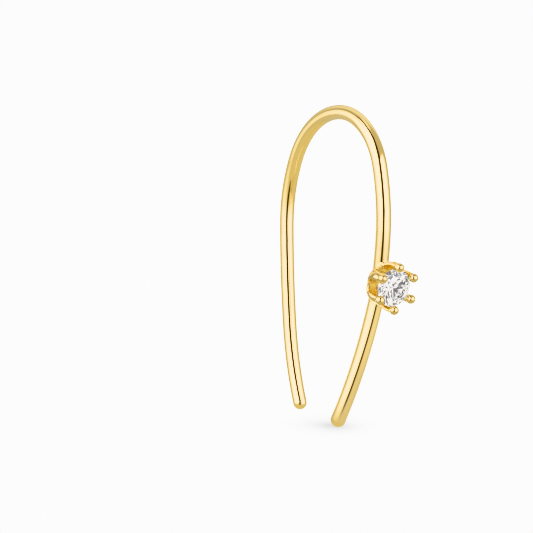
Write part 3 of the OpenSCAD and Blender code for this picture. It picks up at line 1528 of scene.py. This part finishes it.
@dataclass
class Studio:
    """A tent of soft panels round the earring, a light table and the camera."""

    camera_azimuth: float = -33.25
    camera_elevation: float = 2.5
    picture_px: float = 533.0
    focal_px: float = 2450.0
    scale_px_per_mm: float = 15.3
    crown_px: tuple[float, float] = (337.5, 112.7)
    crown_offset: tuple[float, float, float] = (0.0, 0.145, -0.033)
    sensor_mm: float = 36.0
    clip_start: float = 10.0
    floor_r: float = 900.0
    floor_sides: int = 96
    floor_gap: float = 0.02
    backdrop: float = 2.8
    bounces: int = 24
    glossy_bounces: int = 16
    table: LightTable = LightTable()
    sparkle: Sparkle = Sparkle()
    zones: tuple[Zone, ...] = (
        Zone(Level.FLOOR, -90, 0),
        Zone(Level.WALL, -16, 20),
        Zone(Level.TOP_LIGHT, 78, 4),
    )
    panels: tuple[Panel, ...] = (
        Panel("back light", Level.BACK_LIGHT, 180, Edge(-50, 10), Edge(45, 12), Edge(34, 14), Edge(72, 6)),
        Panel("black header", Level.GAP, -45, Edge(-60, 14), Edge(57, 6), Edge(40, 4), Edge(77, 3)),
        Panel("black card", Level.GAP, 4, Edge(-42, 6), Edge(20, 8), Edge(-2, 12), Edge(68, 4)),
        Panel("black strip", Level.GAP, -2, Edge(-15, 10), Edge(14, 10), Edge(-31, 6), Edge(20, 10)),
        Panel("right light", Level.SIDE_LIGHT, 52, Edge(-31, 24), Edge(28, 40), Edge(-15, 26), Edge(38, 8)),
        Panel("left light", Level.LIGHT, -60, Edge(-23, 42), Edge(39, 24), Edge(-10, 36), Edge(61, 5)),
        Panel("upper left light", Level.LIGHT, -96, Edge(-19, 14), Edge(28, 12), Edge(4, 20), Edge(36, 10)),
    )
    cards: tuple[WireCard, ...] = (
        WireCard("crown_card", -6.5, 3.0, -5.0, 3.0, (
            Stripe(-0.90, -0.90, 0.64, 0.64),
            Stripe(0.38, -0.54, 0.68, 0.76),
            Stripe(0.52, -0.38, 1.8, 5.5),
            Stripe(0.64, -0.14, 2.0, 4.6),
            Stripe(0.74, 0.10, 0.62, 0.50),
            Stripe(0.82, 0.26, 0.62, 0.42),
            Stripe(0.88, 0.50, 0.62, 1.2),
            Stripe(0.94, 0.84, 0.62, 1.0),
        ), fade_in=1.2, fade_out=0.8),
        WireCard("leg_card", 14.6, 20.9, 15.2, 20.5, (
            Stripe(-0.78, -0.78, 0.66, 0.66),
            Stripe(-0.68, -0.68, 1.1, 1.1),
            Stripe(-0.54, -0.54, 6.5, 6.5),
            Stripe(-0.14, -0.245, 6.5, 6.0),
            Stripe(-0.02, -0.125, 3.2, 3.0),
            Stripe(0.11, 0.005, 0.06, 0.06),
            Stripe(0.23, 0.125, 0.06, 0.06),
            Stripe(0.36, 0.255, 1.05, 0.85),
            Stripe(0.70, 0.70, 1.15, 0.80),
            Stripe(0.82, 0.82, 0.66, 0.70),
        ), fade_in=0.6),
        WireCard("tip_card", 20.9, 23.9, 20.9, 23.9, (
            Stripe(-0.78, -0.78, 0.66, 0.74),
            Stripe(-0.68, -0.68, 1.1, 0.80),
            Stripe(-0.54, -0.54, 6.5, 0.90),
            Stripe(-0.245, -0.30, 6.0, 0.90),
            Stripe(-0.125, -0.18, 3.0, 0.84),
            Stripe(0.005, -0.04, 0.06, 0.80),
            Stripe(0.125, 0.10, 0.06, 0.78),
            Stripe(0.255, 0.255, 0.85, 0.76),
            Stripe(0.70, 0.70, 0.80, 0.76),
            Stripe(0.82, 0.82, 0.70, 0.74),
        )),
    )

    def camera(self) -> None:
        """Sets the camera where the picture was taken from."""
        azimuth, elevation = math.radians(self.camera_azimuth), math.radians(self.camera_elevation)
        right = Vector((math.cos(azimuth), math.sin(azimuth), 0))
        back = Vector((math.sin(azimuth) * math.cos(elevation), -math.cos(azimuth) * math.cos(elevation),
                       math.sin(elevation)))
        up = back.cross(right)
        middle = self.picture_px / 2
        aside = (middle - self.crown_px[0]) / self.scale_px_per_mm
        below = (self.crown_px[1] - middle) / self.scale_px_per_mm
        distance = self.focal_px / self.scale_px_per_mm
        place = Matrix((right, up, back)).transposed().to_4x4()
        offset = Vector(self.crown_offset)
        place.translation = METRES * (back * distance + right * aside + up * below + offset)
        lens = bpy.data.cameras.new("camera")
        lens.sensor_width = self.sensor_mm
        lens.lens = self.focal_px / self.picture_px * self.sensor_mm
        lens.clip_start = self.clip_start * METRES
        camera = placed("camera", lens)
        camera.matrix_world = place
        bpy.context.scene.camera = camera
        log.info("camera: %.0f mm away", distance)

    def floor(self) -> None:
        """Lays the light table just under the lower tip of the hook."""
        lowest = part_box("ear_hook")[0].z
        work = bmesh.new()
        bmesh.ops.create_circle(work, cap_ends=True, segments=self.floor_sides,
                                radius=self.floor_r * METRES)
        mesh = bpy.data.meshes.new("floor")
        work.to_mesh(mesh)
        work.free()
        mesh.transform(Matrix.Translation((0, 0, lowest - self.floor_gap * METRES)))
        mesh.materials.append(self.table.material(self.backdrop, math.radians(self.camera_azimuth)))
        floor = placed("floor", mesh)
        floor.visible_glossy = False
        floor.visible_transmission = False
        log.info("floor: %.2f mm below the crown", -lowest / METRES)

    def light(self) -> None:
        """Builds the world: what the gold mirrors, what the stone gathers, and the plain backdrop."""
        world = bpy.data.worlds.new("studio")
        world.use_nodes = True
        bpy.context.scene.world = world
        tent = Tent(world.node_tree, self.camera_azimuth)
        radiance = tent.zones(self.zones)
        for panel in self.panels:
            radiance = tent.covered(radiance, panel.level.light, tent.panel(panel))
        path = add_node(tent.tree, "ShaderNodeLightPath")
        radiance = tent.covered(radiance, self.sparkle.radiance(tent), path.outputs["Is Transmission Ray"])
        backdrop = (self.backdrop, self.backdrop, self.backdrop)
        radiance = tent.covered(radiance, backdrop, path.outputs["Is Camera Ray"])
        glow = add_node(tent.tree, "ShaderNodeBackground", inputs={"Color": radiance})
        add_node(tent.tree, "ShaderNodeOutputWorld", inputs={"Surface": glow.outputs["Background"]})
        log.info("studio: %d panels", len(self.panels))

    def build(self, wire: HookWire) -> None:
        """Sets the camera, the floor and the light, and how the picture is developed.

        Args:
            wire: the hook's wire, which the small cards follow.
        """
        self.camera()
        self.floor()
        self.light()
        eye = np.array(bpy.context.scene.camera.matrix_world.translation) / METRES
        for card in self.cards:
            card.build(wire, eye)
        scene = bpy.context.scene
        scene.view_settings.view_transform = "Khronos PBR Neutral"
        scene.cycles.max_bounces = self.bounces
        scene.cycles.glossy_bounces = self.glossy_bounces
        scene.cycles.transmission_bounces = self.bounces


def main() -> None:
    """Builds the studio and the earring."""
    logging.basicConfig(level=logging.INFO, format="%(name)s: %(message)s")
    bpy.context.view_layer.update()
    wire = HookWire()
    setting = ClawSetting()
    Studio().build(wire)
    EarHook(wire, setting, PolishedGold(setting.masks(wire.seat()))).build()
    Brilliant(CutStone()).dress()


if __name__ == "__main__":
    main()
